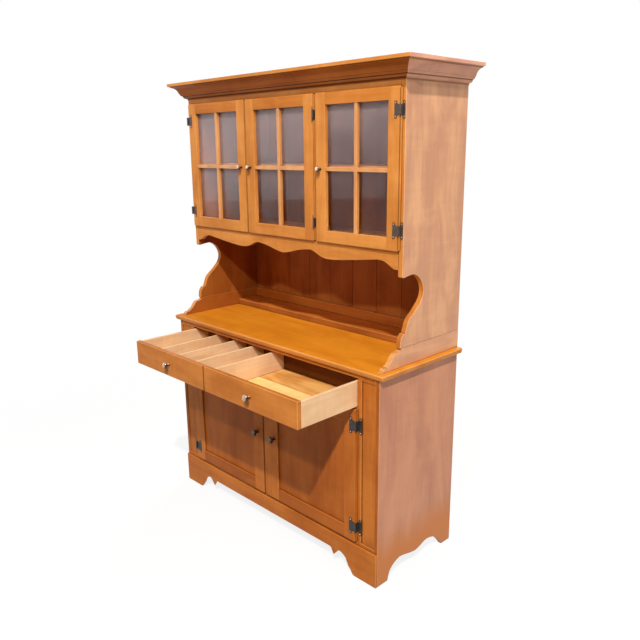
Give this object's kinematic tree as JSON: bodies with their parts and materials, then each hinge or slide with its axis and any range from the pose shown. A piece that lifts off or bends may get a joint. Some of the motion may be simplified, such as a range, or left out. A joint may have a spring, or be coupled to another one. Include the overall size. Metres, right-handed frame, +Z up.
{
  "type": "china hutch",
  "caption": "Maple china hutch: glazed doors over an open scrolled niche, one wide drawer with dividers, panelled lower doors and a scalloped bracket base.",
  "frame": {"origin": "on the floor, under the middle of the whole box with the drawer pulled out as it stands", "axes": "+X to the viewer's right along the front, -Y out of the front towards the viewer, +Z up"},
  "size_m": [1.326, 0.762, 1.832],
  "materials": {
    "case_wood": "satin lacquer",
    "inner_wood": "satin lacquer",
    "drawer_wood": "thin lacquer",
    "glass": "clear",
    "hinges": "dark pewter",
    "knobs": "bright nickel"
  },
  "bodies": {
    "case": {"base_side_left": "case_wood", "base_side_right": "case_wood", "base_face_frame": "case_wood", "base_apron": "case_wood", "base_back": "inner_wood", "base_bottom": "inner_wood", "counter_top": "case_wood", "gallery_side_left": "case_wood", "gallery_side_right": "case_wood", "gallery_back": "case_wood", "upper_side_left": "case_wood", "upper_side_right": "case_wood", "upper_back": "inner_wood", "upper_top": "case_wood", "upper_floor": "inner_wood", "upper_shelf": "inner_wood", "upper_face_frame": "case_wood", "crown": "case_wood", "lower_door_left_hinge_low": "hinges", "lower_door_left_hinge_high": "hinges", "lower_door_right_hinge_low": "hinges", "lower_door_right_hinge_high": "hinges", "upper_door_left_hinge_low": "hinges", "upper_door_left_hinge_high": "hinges", "upper_door_middle_hinge_low": "hinges", "upper_door_middle_hinge_high": "hinges", "upper_door_right_hinge_low": "hinges", "upper_door_right_hinge_high": "hinges"},
    "drawer": {"drawer_front": "case_wood", "drawer_side_left": "drawer_wood", "drawer_side_right": "drawer_wood", "drawer_back": "drawer_wood", "drawer_bottom": "drawer_wood", "drawer_knob_left": "knobs", "drawer_knob_right": "knobs"},
    "lower_door_left": {"lower_door_left_frame": "case_wood", "lower_door_left_panel": "case_wood", "lower_door_left_knob": "knobs", "lower_door_left_leaf_low": "hinges", "lower_door_left_leaf_high": "hinges"},
    "lower_door_right": {"lower_door_right_frame": "case_wood", "lower_door_right_panel": "case_wood", "lower_door_right_knob": "knobs", "lower_door_right_leaf_low": "hinges", "lower_door_right_leaf_high": "hinges"},
    "upper_door_left": {"upper_door_left_frame": "case_wood", "upper_door_left_glass": "glass", "upper_door_left_knob": "knobs", "upper_door_left_leaf_low": "hinges", "upper_door_left_leaf_high": "hinges"},
    "upper_door_middle": {"upper_door_middle_frame": "case_wood", "upper_door_middle_glass": "glass", "upper_door_middle_knob": "knobs", "upper_door_middle_leaf_low": "hinges", "upper_door_middle_leaf_high": "hinges"},
    "upper_door_right": {"upper_door_right_frame": "case_wood", "upper_door_right_glass": "glass", "upper_door_right_knob": "knobs", "upper_door_right_leaf_low": "hinges", "upper_door_right_leaf_high": "hinges"}
  },
  "joints": [
    {"name": "drawer_slide", "type": "slide", "parent": "case", "child": "drawer", "axis": [0, -1, 0], "range_m": [-0.2856, 0.05]},
    {"name": "lower_door_left_hinge", "type": "hinge", "parent": "case", "child": "lower_door_left", "pos_m": [-0.5051, -0.0862, 0.1467], "axis": [0, 0, -1], "range_deg": [0, 165]},
    {"name": "lower_door_right_hinge", "type": "hinge", "parent": "case", "child": "lower_door_right", "pos_m": [0.5051, -0.0862, 0.1467], "axis": [0, 0, 1], "range_deg": [0, 165]},
    {"name": "upper_door_left_hinge", "type": "hinge", "parent": "case", "child": "upper_door_left", "pos_m": [-0.5896, 0.0212, 1.2227], "axis": [0, 0, -1], "range_deg": [0, 165]},
    {"name": "upper_door_middle_hinge", "type": "hinge", "parent": "case", "child": "upper_door_middle", "pos_m": [0.1926, 0.0212, 1.2227], "axis": [0, 0, 1], "range_deg": [0, 90]},
    {"name": "upper_door_right_hinge", "type": "hinge", "parent": "case", "child": "upper_door_right", "pos_m": [0.5896, 0.0212, 1.2227], "axis": [0, 0, 1], "range_deg": [0, 165]}
  ]
}
